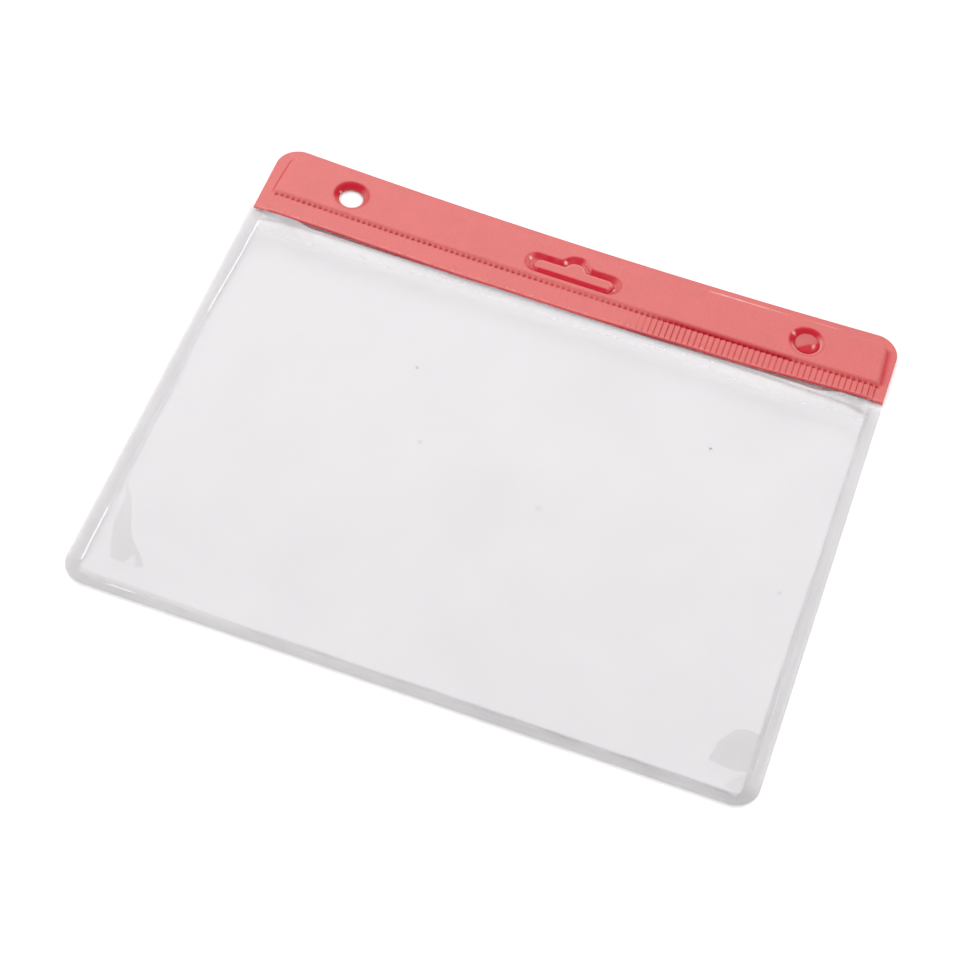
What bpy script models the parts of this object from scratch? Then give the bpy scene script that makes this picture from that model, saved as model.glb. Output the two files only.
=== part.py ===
"""Landscape soft-vinyl badge holder with a coloured header strip.

A clear pocket is welded along its two sides and its bottom from a back film and
a moulded front film. Its mouth lies under the lower edge of a two-film header
strip, which is welded round its rim and along a dashed line through the back
film. The header has a punched round hole, and two knock-outs that are still in
place: a slot with a round bump, for a strap clip, and a second round hole.

The holder lies on its back: +X runs along its width, +Y towards the header and
+Z out of its front face. The origin is at the middle of the back, on the
surface that the holder lies on. Films that touch on the real holder are kept
CLEARANCE apart.
"""

import math

import bmesh
import bpy

MM = 0.001

# Overall plan
HOLDER_WIDTH = 114.0 * MM
HOLDER_HEIGHT = 98.2 * MM
CORNER_RADIUS = 4.2 * MM
TOP_EDGE_DIP = 1.2 * MM  # the strip shrinks inward at the middle of its top edge
STRIP_OVERHANG = 0.25 * MM  # the strip stands this far proud of the clear films

# Films and their levels
FILM = 0.30 * MM
CLEARANCE = 0.30 * MM
WELD_TOP = 2 * FILM + CLEARANCE  # two films pressed together
FACE_TOP = 3 * FILM + 2 * CLEARANCE  # puffed header face and pocket window

# Clear pocket
SIDE_WELD = 2.45 * MM
BOTTOM_WELD = 3.35 * MM
WINDOW_STEP = 0.60 * MM  # plan width of the slope from weld to window
WINDOW_CORNER_RADIUS = 1.4 * MM

# Header strip
STRIP_BACK_EDGE_Y = 82.8 * MM  # lower edge of the back film, from the bottom
STRIP_FRONT_EDGE_Y = 82.25 * MM  # lower edge of the front film at its middle
STRIP_FRONT_RISE_LEFT = 0.35 * MM
STRIP_FRONT_RISE_RIGHT = 0.75 * MM
STRIP_RIM_SIDE = 1.9 * MM
STRIP_RIM_TOP = 1.3 * MM
STRIP_STEP = 0.5 * MM
MOUTH_GAP = 0.35 * MM
EDGE_BLEND = 3.0 * MM  # the bend of the mouth's edges dies out over this width
DASH_LINE_Y = 86.3 * MM
DASH_GROOVE_WIDTH = 0.5 * MM
DASH_GROOVE_DEPTH = 0.12 * MM
DASH_HALF_LENGTH = 54.0 * MM

# Lap of the clear back film between the strip's two films
LAP_HALF_WIDTH = 53.2 * MM
LAP_RAMP_START_Y = 81.15 * MM
LAP_RAMP_END_Y = 82.2 * MM
LAP_TOP_Y = 86.8 * MM
LAP_SLIT = 0.35 * MM
BACK_EAR_Y = 82.3 * MM

# Round holes and the round knock-out
ROUND_X = 41.45 * MM
ROUND_Y = 91.4 * MM
RING_RADIUS = 3.25 * MM
HOLE_RADIUS = 2.35 * MM
HOLE_SLUG_RADIUS = 2.2 * MM
HOLE_SLUG_SHOULDER = 0.80 * MM
HOLE_SLUG_HEIGHT = 1.30 * MM
ROUND_STEPS = 28

# Strap slot and its knock-out
SLOT_X = -0.15 * MM
SLOT_Y = 89.7 * MM
SLOT_SLUG_LENGTH = 14.6 * MM
SLOT_SLUG_WIDTH = 2.9 * MM
SLOT_BUMP_RADIUS = 1.95 * MM
SLOT_BUMP_Y = 0.95 * MM  # centre of the bump above the slot's centre line
SLOT_GROOVE = 1.05 * MM  # from the slug to the top of the pressed groove
SLOT_SLUG_HEIGHT = 1.20 * MM
SLUG_BEVEL = 0.22 * MM

HALF_W = HOLDER_WIDTH / 2
Y0 = -HOLDER_HEIGHT / 2  # y of the bottom edge


def material(name, colour, roughness, alpha=1.0):
    mat = bpy.data.materials.new(name)
    mat.use_nodes = True
    shader = mat.node_tree.nodes["Principled BSDF"]
    shader.inputs["Base Color"].default_value = (*colour, 1.0)
    shader.inputs["Roughness"].default_value = roughness
    shader.inputs["Metallic"].default_value = 0.0
    shader.inputs["Alpha"].default_value = alpha
    mat.diffuse_color = (*colour, alpha)
    return mat


def dip(x):
    """How far the top edge of the strip lies below its ends."""
    share = x / (HALF_W - CORNER_RADIUS)
    return TOP_EDGE_DIP * max(0.0, 1.0 - share * share)


def front_rise(x):
    """How far the strip's front lower edge lies above its lowest point."""
    share = x / HALF_W
    rise = STRIP_FRONT_RISE_RIGHT if x > 0 else STRIP_FRONT_RISE_LEFT
    return rise * share * share


def rounded_rectangle(x0, y0, x1, y1, radius, top_dip=False, steps=7, spacing=6 * MM):
    """Points round a rectangle, anticlockwise from its lower left corner."""
    corners = (
        (x0 + radius, y0 + radius, math.pi),
        (x1 - radius, y0 + radius, 1.5 * math.pi),
        (x1 - radius, y1 - radius, 0.0),
        (x0 + radius, y1 - radius, 0.5 * math.pi),
    )
    points = []
    for cx, cy, start in corners:
        arc = [
            (
                cx + radius * math.cos(start + 0.5 * math.pi * i / steps),
                cy + radius * math.sin(start + 0.5 * math.pi * i / steps),
            )
            for i in range(steps + 1)
        ]
        if points:
            points += between(points[-1], arc[0], spacing)
        points += arc
    points += between(points[-1], points[0], spacing)
    if top_dip:
        middle = (y0 + y1) / 2
        points = [(x, y - dip(x)) if y > middle else (x, y) for x, y in points]
    return points


def between(start, end, spacing):
    """Points strictly between two points, about spacing apart."""
    length = math.dist(start, end)
    count = max(1, round(length / spacing))
    return [
        (
            start[0] + (end[0] - start[0]) * i / count,
            start[1] + (end[1] - start[1]) * i / count,
        )
        for i in range(1, count)
    ]


def circle(cx, cy, radius, steps=ROUND_STEPS):
    return [
        (
            cx + radius * math.cos(2 * math.pi * i / steps),
            cy + radius * math.sin(2 * math.pi * i / steps),
        )
        for i in range(steps)
    ]


def slot_outline(grow, end_steps=9, bump_steps=9):
    """The slot's outline, anticlockwise, pushed out by grow all round."""
    half = SLOT_SLUG_WIDTH / 2 + grow
    reach = SLOT_SLUG_LENGTH / 2 - SLOT_SLUG_WIDTH / 2
    bump = SLOT_BUMP_RADIUS + grow
    # Where the bump's circle meets the slot's upper edge
    rise = math.asin((half - SLOT_BUMP_Y) / bump)
    points = []
    for i in range(end_steps + 1):  # right end, from below to above
        a = -0.5 * math.pi + math.pi * i / end_steps
        points.append((reach + half * math.cos(a), half * math.sin(a)))
    for i in range(bump_steps + 1):  # bump, from right to left
        a = rise + (math.pi - 2 * rise) * i / bump_steps
        points.append((bump * math.cos(a), SLOT_BUMP_Y + bump * math.sin(a)))
    for i in range(end_steps + 1):  # left end, from above to below
        a = 0.5 * math.pi + math.pi * i / end_steps
        points.append((-reach + half * math.cos(a), half * math.sin(a)))
    return [(SLOT_X + x, Y0 + SLOT_Y + y) for x, y in points]


def add_loop(bm, points, z):
    """A closed loop of edges at one level."""
    verts = [bm.verts.new((x, y, z)) for x, y in points]
    return [bm.edges.new((verts[i - 1], verts[i])) for i in range(len(verts))]


def bridge(bm, first, second):
    """Lofts between two unlike loops with as many points, point to point."""
    near = loop_verts(first)
    far = loop_verts(second)
    for i in range(len(near)):
        bm.faces.new((near[i - 1], near[i], far[i], far[i - 1]))


def loop_verts(edges):
    """The points of a loop from add_loop, in order."""
    verts = []
    for i, edge in enumerate(edges):
        before = edges[i - 1]
        verts.append(next(v for v in edge.verts if v in before.verts))
    return verts


def fill(bm, edges):
    bmesh.ops.triangle_fill(bm, edges=edges, use_beauty=True, normal=(0, 0, 1))


def face_up(bm):
    """Turns an open sheet's faces so that they look along +Z."""
    bmesh.ops.recalc_face_normals(bm, faces=bm.faces[:])
    bm.normal_update()
    if sum(face.normal.z * face.calc_area() for face in bm.faces) < 0:
        bmesh.ops.reverse_faces(bm, faces=bm.faces[:])


def new_object(name, bm, mat, collection):
    mesh = bpy.data.meshes.new(name)
    bm.to_mesh(mesh)
    bm.free()
    mesh.materials.append(mat)
    obj = bpy.data.objects.new(name, mesh)
    collection.objects.link(obj)
    return obj


def thicken(obj, offset):
    """Gives a sheet the film's thickness: offset -1 is below it, 1 above it."""
    solidify = obj.modifiers.new("film", "SOLIDIFY")
    solidify.thickness = FILM
    solidify.offset = offset
    solidify.use_even_offset = True
    solidify.use_rim = True


def plate(name, loops, z, mat, collection):
    """A flat film with its holes: a filled 2D curve, extruded both ways."""
    curve = bpy.data.curves.new(name, "CURVE")
    curve.dimensions = "2D"
    curve.fill_mode = "BOTH"
    curve.extrude = FILM / 2
    for points in loops:
        spline = curve.splines.new("POLY")
        spline.points.add(len(points) - 1)
        for target, (x, y) in zip(spline.points, points):
            target.co = (x, y, 0.0, 1.0)
        spline.use_cyclic_u = True
    helper = bpy.data.objects.new(name + "_outline", curve)
    helper.location.z = z + FILM / 2
    collection.objects.link(helper)
    bpy.context.view_layer.update()
    graph = bpy.context.evaluated_depsgraph_get()
    mesh = bpy.data.meshes.new_from_object(helper.evaluated_get(graph))
    bm = bmesh.new()
    bm.from_mesh(mesh)
    bmesh.ops.remove_doubles(bm, verts=bm.verts[:], dist=1e-6)
    bmesh.ops.recalc_face_normals(bm, faces=bm.faces[:])
    bm.to_mesh(mesh)
    bm.free()
    mesh.name = name
    mesh.materials.clear()
    mesh.materials.append(mat)
    obj = bpy.data.objects.new(name, mesh)
    obj.matrix_world = helper.matrix_world
    collection.objects.link(obj)
    bpy.data.objects.remove(helper)
    bpy.data.curves.remove(curve)
    return obj


def make_back_panel(mat, collection):
    """Clear back film: flat, with a lap that steps up between the strip's films."""
    half = HALF_W - STRIP_OVERHANG
    top = Y0 + BACK_EAR_Y
    slit_foot = Y0 + LAP_RAMP_START_Y - 0.25 * MM
    plan = rounded_rectangle(-half, Y0, half, top + 20 * MM, CORNER_RADIUS)
    body = [p for p in plan if p[1] < Y0 + 70 * MM]
    # The plan runs along the bottom, up the right side and down the left one.
    last_right = max(i for i, p in enumerate(body) if p[0] > 0)
    right, left = body[: last_right + 1], body[last_right + 1 :]
    outline = right + [
        (half, top),
        (LAP_HALF_WIDTH + LAP_SLIT, top),
        (LAP_HALF_WIDTH + LAP_SLIT, slit_foot),
        (LAP_HALF_WIDTH, slit_foot),
        (LAP_HALF_WIDTH, Y0 + LAP_TOP_Y),
        (-LAP_HALF_WIDTH, Y0 + LAP_TOP_Y),
        (-LAP_HALF_WIDTH, slit_foot),
        (-LAP_HALF_WIDTH - LAP_SLIT, slit_foot),
        (-LAP_HALF_WIDTH - LAP_SLIT, top),
        (-half, top),
    ] + left
    bm = bmesh.new()
    fill(bm, add_loop(bm, outline, 0.0))
    for y in (LAP_RAMP_START_Y, LAP_RAMP_END_Y):
        bmesh.ops.bisect_plane(
            bm,
            geom=bm.verts[:] + bm.edges[:] + bm.faces[:],
            plane_co=(0, Y0 + y, 0),
            plane_no=(0, 1, 0),
        )
    for vert in bm.verts:
        if abs(vert.co.x) < LAP_HALF_WIDTH + 1e-6:
            if vert.co.y > Y0 + LAP_RAMP_END_Y - 1e-6:
                vert.co.z = FILM + CLEARANCE
    face_up(bm)
    obj = new_object("back_panel", bm, mat, collection)
    thicken(obj, 1.0)
    return obj


def make_front_panel(mat, collection):
    """Clear front film: a flat weld round three sides and a raised window.

    The same outline carries on past the mouth, where it is cut off, so that the
    window runs out to a free edge.
    """
    half = HALF_W - STRIP_OVERHANG
    past = Y0 + HOLDER_HEIGHT
    inner = half - SIDE_WELD
    low = Y0 + BOTTOM_WELD
    radius = WINDOW_CORNER_RADIUS + WINDOW_STEP
    bm = bmesh.new()
    outer_loop = add_loop(
        bm, rounded_rectangle(-half, Y0, half, past, CORNER_RADIUS), WELD_TOP
    )
    foot_loop = add_loop(
        bm,
        rounded_rectangle(-inner, low, inner, past - BOTTOM_WELD, radius),
        WELD_TOP,
    )
    edge_loop = add_loop(
        bm,
        rounded_rectangle(
            -inner + WINDOW_STEP,
            low + WINDOW_STEP,
            inner - WINDOW_STEP,
            past - BOTTOM_WELD - WINDOW_STEP,
            WINDOW_CORNER_RADIUS,
        ),
        FACE_TOP,
    )
    fill(bm, outer_loop + foot_loop)
    bridge(bm, foot_loop, edge_loop)
    fill(bm, edge_loop)
    mouth = Y0 + STRIP_FRONT_EDGE_Y - MOUTH_GAP
    cut_edge(bm, mouth)
    face_up(bm)
    obj = new_object("front_panel", bm, mat, collection)
    thicken(obj, -1.0)
    return obj


def cut_edge(bm, y, keep_above=False):
    """Trims a sheet along a straight line, then bends that edge to the strip's."""
    bmesh.ops.bisect_plane(
        bm,
        geom=bm.verts[:] + bm.edges[:] + bm.faces[:],
        plane_co=(0, y, 0),
        plane_no=(0, 1, 0),
        clear_outer=not keep_above,
        clear_inner=keep_above,
    )
    for vert in bm.verts:
        share = max(0.0, 1.0 - abs(vert.co.y - y) / EDGE_BLEND)
        vert.co.y += front_rise(vert.co.x) * share


def make_header_front(mat, collection, cutters):
    """Front film of the strip: a welded rim, a puffed face and pressed recesses."""
    past = Y0 + STRIP_FRONT_EDGE_Y - 10 * MM
    top = Y0 + HOLDER_HEIGHT
    inner = HALF_W - STRIP_RIM_SIDE
    high = top - STRIP_RIM_TOP
    bm = bmesh.new()
    outer_loop = add_loop(
        bm, rounded_rectangle(-HALF_W, past, HALF_W, top, CORNER_RADIUS, True), WELD_TOP
    )
    radius = CORNER_RADIUS - STRIP_RIM_TOP
    foot_loop = add_loop(
        bm,
        rounded_rectangle(-inner, past + STRIP_RIM_TOP, inner, high, radius, True),
        WELD_TOP,
    )
    edge_loop = add_loop(
        bm,
        rounded_rectangle(
            -inner + STRIP_STEP,
            past + STRIP_RIM_TOP + STRIP_STEP,
            inner - STRIP_STEP,
            high - STRIP_STEP,
            radius - STRIP_STEP,
            True,
        ),
        FACE_TOP,
    )
    fill(bm, outer_loop + foot_loop)
    bridge(bm, foot_loop, edge_loop)
    cy = Y0 + ROUND_Y
    recesses = (
        (circle(-ROUND_X, cy, RING_RADIUS), circle(-ROUND_X, cy, HOLE_RADIUS)),
        (
            circle(ROUND_X, cy, RING_RADIUS),
            circle(ROUND_X, cy, HOLE_SLUG_RADIUS + CLEARANCE),
        ),
        (slot_outline(SLOT_GROOVE), slot_outline(CLEARANCE)),
    )
    rims = []
    for outer, inner_points in recesses:
        rim = add_loop(bm, outer, FACE_TOP)
        foot = add_loop(bm, inner_points, WELD_TOP)
        rims += rim
        bridge(bm, rim, foot)
    fill(bm, edge_loop + rims)
    cut_edge(bm, Y0 + STRIP_FRONT_EDGE_Y, keep_above=True)
    face_up(bm)
    obj = new_object("header_front", bm, mat, collection)
    thicken(obj, -1.0)
    groove = box(
        "dash_line_cutter",
        (0, Y0 + DASH_LINE_Y, FACE_TOP),
        (2 * DASH_HALF_LENGTH, DASH_GROOVE_WIDTH, 2 * DASH_GROOVE_DEPTH),
        cutters,
    )
    cut = obj.modifiers.new("dash_line", "BOOLEAN")
    cut.operation = "DIFFERENCE"
    cut.solver = "EXACT"
    cut.object = groove
    return obj


def make_header_back(mat, collection):
    """Back film of the strip: flat, with the openings of the three recesses."""
    low = Y0 + STRIP_BACK_EDGE_Y
    top = Y0 + HOLDER_HEIGHT
    plan = rounded_rectangle(
        -HALF_W, low - 20 * MM, HALF_W, top, CORNER_RADIUS, top_dip=True
    )
    outline = [(-HALF_W, low), (HALF_W, low)] + [p for p in plan if p[1] > low + MM]
    cy = Y0 + ROUND_Y
    loops = [
        outline,
        circle(-ROUND_X, cy, HOLE_RADIUS),
        circle(ROUND_X, cy, HOLE_SLUG_RADIUS + CLEARANCE),
        slot_outline(CLEARANCE),
    ]
    return plate("header_back", loops, 0.0, mat, collection)


def make_hole_slug(mat, collection):
    """Round knock-out: a turned profile with a domed front."""
    radius, shoulder, height = HOLE_SLUG_RADIUS, HOLE_SLUG_SHOULDER, HOLE_SLUG_HEIGHT
    profile = [(0.0, height)]
    for i in range(1, 6):
        a = 0.5 * math.pi * i / 5
        profile.append(
            (radius * math.sin(a), shoulder + (height - shoulder) * math.cos(a))
        )
    profile += [(radius, 0.0), (0.0, 0.0)]
    bm = bmesh.new()
    verts = [bm.verts.new((x, 0.0, z)) for x, z in profile]
    for first, second in zip(verts, verts[1:]):
        bm.edges.new((first, second))
    obj = new_object("hole_slug", bm, mat, collection)
    obj.location = (ROUND_X, Y0 + ROUND_Y, 0.0)
    turn = obj.modifiers.new("turn", "SCREW")
    turn.steps = ROUND_STEPS
    turn.render_steps = ROUND_STEPS
    turn.use_merge_vertices = True
    turn.merge_threshold = 0.00001
    return obj


def make_slot_slug(mat, collection):
    """Slot knock-out: its outline extruded, with a rounded front edge."""
    outline = [(x - SLOT_X, y - Y0 - SLOT_Y) for x, y in slot_outline(0.0)]
    bm = bmesh.new()
    base = bm.faces.new([bm.verts.new((x, y, 0.0)) for x, y in outline])
    raised = bmesh.ops.extrude_face_region(bm, geom=[base])
    tops = [v for v in raised["geom"] if isinstance(v, bmesh.types.BMVert)]
    bmesh.ops.translate(bm, vec=(0, 0, SLOT_SLUG_HEIGHT), verts=tops)
    rim = [
        edge
        for edge in bm.edges
        if all(abs(v.co.z - SLOT_SLUG_HEIGHT) < 1e-7 for v in edge.verts)
    ]
    bmesh.ops.bevel(
        bm,
        geom=rim,
        offset=SLUG_BEVEL,
        offset_type="OFFSET",
        segments=2,
        profile=0.5,
        affect="EDGES",
    )
    bmesh.ops.recalc_face_normals(bm, faces=bm.faces[:])
    obj = new_object("slot_slug", bm, mat, collection)
    obj.location = (SLOT_X, Y0 + SLOT_Y, 0.0)
    return obj


def box(name, centre, size, collection):
    bm = bmesh.new()
    bmesh.ops.create_cube(bm, size=1.0)
    bmesh.ops.scale(bm, vec=size, verts=bm.verts[:])
    mesh = bpy.data.meshes.new(name)
    bm.to_mesh(mesh)
    bm.free()
    obj = bpy.data.objects.new(name, mesh)
    obj.location = centre
    obj.hide_render = True
    obj.display_type = "WIRE"
    collection.objects.link(obj)
    return obj


def main():
    for obj in list(bpy.data.objects):
        bpy.data.objects.remove(obj, do_unlink=True)

    holder = bpy.data.collections.new("badge_holder")
    cutters = bpy.data.collections.new("cutters")
    for collection in (holder, cutters):
        bpy.context.scene.collection.children.link(collection)

    clear_back = material("clear_back_film", (0.86, 0.87, 0.88), 0.22, 0.35)
    clear_front = material("clear_front_film", (0.86, 0.87, 0.88), 0.18, 0.35)
    red_front = material("red_front_film", (0.79, 0.22, 0.21), 0.42)
    red_back = material("red_back_film", (0.70, 0.16, 0.16), 0.45)
    red_slot = material("red_slot_slug", (0.80, 0.20, 0.19), 0.36)
    red_hole = material("red_hole_slug", (0.80, 0.19, 0.18), 0.34)

    parts = [
        make_header_back(red_back, holder),
        make_back_panel(clear_back, holder),
        make_front_panel(clear_front, holder),
        make_header_front(red_front, holder, cutters),
        make_slot_slug(red_slot, holder),
        make_hole_slug(red_hole, holder),
    ]
    for obj in parts:
        obj.data.shade_smooth()
        obj.data.set_sharp_from_angle(angle=math.radians(35))


main()
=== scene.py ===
"""Looks of the landscape soft-vinyl badge holder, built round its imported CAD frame."""

import math

import bmesh
import bpy
import numpy as np
from mathutils import Matrix, Vector
from mathutils.geometry import delaunay_2d_cdt


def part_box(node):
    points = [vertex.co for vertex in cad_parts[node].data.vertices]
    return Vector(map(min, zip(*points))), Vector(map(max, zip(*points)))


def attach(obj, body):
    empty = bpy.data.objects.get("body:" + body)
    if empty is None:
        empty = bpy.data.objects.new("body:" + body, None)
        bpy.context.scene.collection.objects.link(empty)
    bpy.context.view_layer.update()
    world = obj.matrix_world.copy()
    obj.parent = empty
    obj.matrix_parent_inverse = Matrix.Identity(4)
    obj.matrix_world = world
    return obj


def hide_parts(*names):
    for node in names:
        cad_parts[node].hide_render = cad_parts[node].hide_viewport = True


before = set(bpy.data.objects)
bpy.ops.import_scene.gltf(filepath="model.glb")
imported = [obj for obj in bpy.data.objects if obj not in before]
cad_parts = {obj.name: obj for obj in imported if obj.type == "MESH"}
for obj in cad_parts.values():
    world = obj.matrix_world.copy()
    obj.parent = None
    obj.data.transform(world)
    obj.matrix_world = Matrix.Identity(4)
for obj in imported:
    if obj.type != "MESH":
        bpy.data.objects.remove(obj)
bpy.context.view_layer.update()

# ---------------------------------------------------------------- sizes, in mm
# x runs from the middle, y from the holder's bottom edge, z from the back.
_, strip_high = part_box("header_front")
back_low, back_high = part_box("back_panel")
front_low, front_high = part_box("front_panel")
HALF_W = strip_high.x * 1000
HEIGHT = (strip_high.y - back_low.y) * 1000
BOTTOM = back_low.y * 1000
PANEL_HALF = back_high.x * 1000
CLEAR_HALF = PANEL_HALF + 0.14  # the soft films spread a little past the solid ones
FACE = front_high.z * 1000  # top of the window and of the puffed strip
slot_low, slot_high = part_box("slot_slug")
round_low, round_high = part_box("hole_slug")
SLOT_X = (slot_low.x + slot_high.x) * 500
SLOT_REACH = (slot_high.x - slot_low.x) * 500
ROUND_X = (round_low.x + round_high.x) * 500
ROUND_Y = (round_low.y + round_high.y) * 500 - BOTTOM
ROUND_R = (round_high.x - round_low.x) * 500
SLOT_HALF = 1.45
SLOT_Y = slot_low.y * 1000 + SLOT_HALF - BOTTOM
BUMP_R = 1.95
BUMP_Y = slot_high.y * 1000 - BOTTOM - SLOT_Y - BUMP_R
HOLE_R = 2.14
RING_R = 3.25
CORNER = 4.2
DIP = 1.2
PITCH = 1.017  # of the weld dashes and of the ribs
DASH_X = -52.8  # middle of one dash

SEED = 5


# ------------------------------------------------------------- number helpers
def clamp01(v):
    return np.clip(v, 0.0, 1.0)


def step(a, b, v):
    """0 before a, 1 after b, smooth between; a may be above b."""
    t = clamp01((v - a) / (b - a))
    return t * t * (3 - 2 * t)


def bell(v, width):
    return np.exp(-((v / width) ** 2))


def wave(x, y, scale, seed):
    """Smooth, repeatable noise from -1 to 1, about scale mm across."""
    rng = np.random.default_rng(seed)
    total = np.zeros(np.broadcast(x, y).shape)
    for _ in range(7):
        angle = rng.uniform(0, 2 * math.pi)
        size = scale * rng.uniform(0.6, 1.7)
        phase = rng.uniform(0, 2 * math.pi)
        total = total + np.sin(
            2 * math.pi * (x * math.cos(angle) + y * math.sin(angle)) / size + phase
        )
    return total / 4.0


STRIP_LEFT = -HALF_W + 0.52  # the soft strip ends a little inside the solid one
STRIP_RIGHT = HALF_W - 0.20
SLOT_OUT_X = SLOT_X - 0.20
LEFT_X = -ROUND_X - 0.18  # middle of the open hole
LEFT_Y = ROUND_Y + 0.15


def dip(x):
    share = x / (HALF_W - CORNER)
    return DIP * np.maximum(0.0, 1.0 - share * share)


def lip(x):
    """y of the strip's front lower edge: nearly straight, rising to the right end."""
    left = 81.98 + 0.77 * step(-14, -58, x)
    right = 0.54 * step(2, 30, x) + 1.42 * step(26, 58, x)
    return left + right + 0.03 * wave(x, x * 0, 11, 7)


def back_lip(x):
    """y of the strip's back film's lower edge."""
    return 82.62 + 0.48 * step(8, 40, x) + 1.1 * step(45.2, 50.0, np.abs(x))


def sd_rect(x, y, x0, y0, x1, y1, r):
    """Signed distance to a rounded rectangle, negative inside."""
    qx = np.abs(x - (x0 + x1) / 2) - ((x1 - x0) / 2 - r)
    qy = np.abs(y - (y0 + y1) / 2) - ((y1 - y0) / 2 - r)
    out = np.hypot(np.maximum(qx, 0), np.maximum(qy, 0))
    return out + np.minimum(np.maximum(qx, qy), 0) - r


def sd_slot(x, y):
    """Distance outside the slot slug's outline, with its inner corners eased."""
    reach = SLOT_REACH - SLOT_HALF
    px = np.maximum(np.abs(x - SLOT_X) - reach, 0)
    bar = np.hypot(px, y - SLOT_Y) - SLOT_HALF
    bump = np.hypot(x - SLOT_X, y - SLOT_Y - BUMP_Y) - BUMP_R
    k = 0.35
    h = clamp01(0.5 + 0.5 * (bump - bar) / k)
    return bump * (1 - h) + bar * h - k * h * (1 - h)


# ------------------------------------------------------------- outline helpers
def rounded(x0, y0, x1, y1, r, spacing, bowed=False):
    points = []
    for cx, cy, a in (
        (x0 + r, y0 + r, math.pi),
        (x1 - r, y0 + r, 1.5 * math.pi),
        (x1 - r, y1 - r, 0.0),
        (x0 + r, y1 - r, 0.5 * math.pi),
    ):
        n = max(4, int(r * math.pi / 2 / min(spacing, 0.35)))
        arc = [
            (
                cx + r * math.cos(a + 0.5 * math.pi * i / n),
                cy + r * math.sin(a + 0.5 * math.pi * i / n),
            )
            for i in range(n + 1)
        ]
        if points:
            points += along(points[-1], arc[0], spacing)
        points += arc
    points += along(points[-1], points[0], spacing)
    points = np.array(points)
    if bowed:
        high = points[:, 1] > (y0 + y1) / 2
        points[high, 1] -= dip(points[high, 0])
    return points


def along(a, b, spacing):
    n = max(1, round(math.dist(a, b) / spacing))
    return [
        (a[0] + (b[0] - a[0]) * i / n, a[1] + (b[1] - a[1]) * i / n)
        for i in range(1, n)
    ]


def ring(cx, cy, r, n):
    a = np.arange(n) * 2 * math.pi / n
    return np.stack([cx + r * np.cos(a), cy + r * np.sin(a)], 1)


def sd_slot_rim(x, y):
    """Distance outside the slot recess's outer outline."""
    px = np.maximum(np.abs(x - SLOT_OUT_X) - 6.55, 0)
    bar = np.hypot(px, y - SLOT_Y - 0.26) - 2.24
    bump = np.hypot(x - SLOT_X, y - SLOT_Y - 1.35) - 2.92
    k = 0.5
    h = clamp01(0.5 + 0.5 * (bump - bar) / k)
    return bump * (1 - h) + bar * h - k * h * (1 - h)


def slot_loop(grow, n=220):
    """The level line of sd_slot at grow, found along rays from inside it."""
    reach = SLOT_REACH - SLOT_HALF
    a = np.arange(n) * 2 * math.pi / n
    ox = SLOT_X + reach * 0.82 * np.cos(a)
    oy = SLOT_Y + 0.45 * np.sin(a) + 0.45 * np.exp(-((np.cos(a) / 0.25) ** 2)) * (
        np.sin(a) > 0
    )
    flat = np.abs(np.cos(a)) < 0.99
    dx = np.where(flat, np.cos(a) * 0.18, np.cos(a) * 0.6)
    dy = np.sin(a)
    lo, hi = np.zeros(n), np.full(n, 9.0)
    for _ in range(40):
        mid = (lo + hi) / 2
        inside = sd_slot(ox + dx * mid, oy + dy * mid) < grow
        lo, hi = np.where(inside, mid, lo), np.where(inside, hi, mid)
    return np.stack([ox + dx * lo, oy + dy * lo], 1)


def inside_loop(px, py, loop):
    """Which points lie inside a closed loop (even-odd rule)."""
    result = np.zeros(len(px), bool)
    a = loop
    b = np.roll(loop, -1, axis=0)
    for (ax, ay), (bx, by) in zip(a, b):
        if ay == by:
            continue
        crosses = (ay > py) != (by > py)
        at = ax + (py - ay) * (bx - ax) / (by - ay)
        result ^= crosses & (px < at)
    return result


def grid(x0, x1, y0, y1, dx, dy):
    nx, ny = max(1, round((x1 - x0) / dx)), max(1, round((y1 - y0) / dy))
    gx, gy = np.meshgrid(np.linspace(x0, x1, nx + 1), np.linspace(y0, y1, ny + 1))
    return np.stack([gx.ravel(), gy.ravel()], 1)


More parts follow.
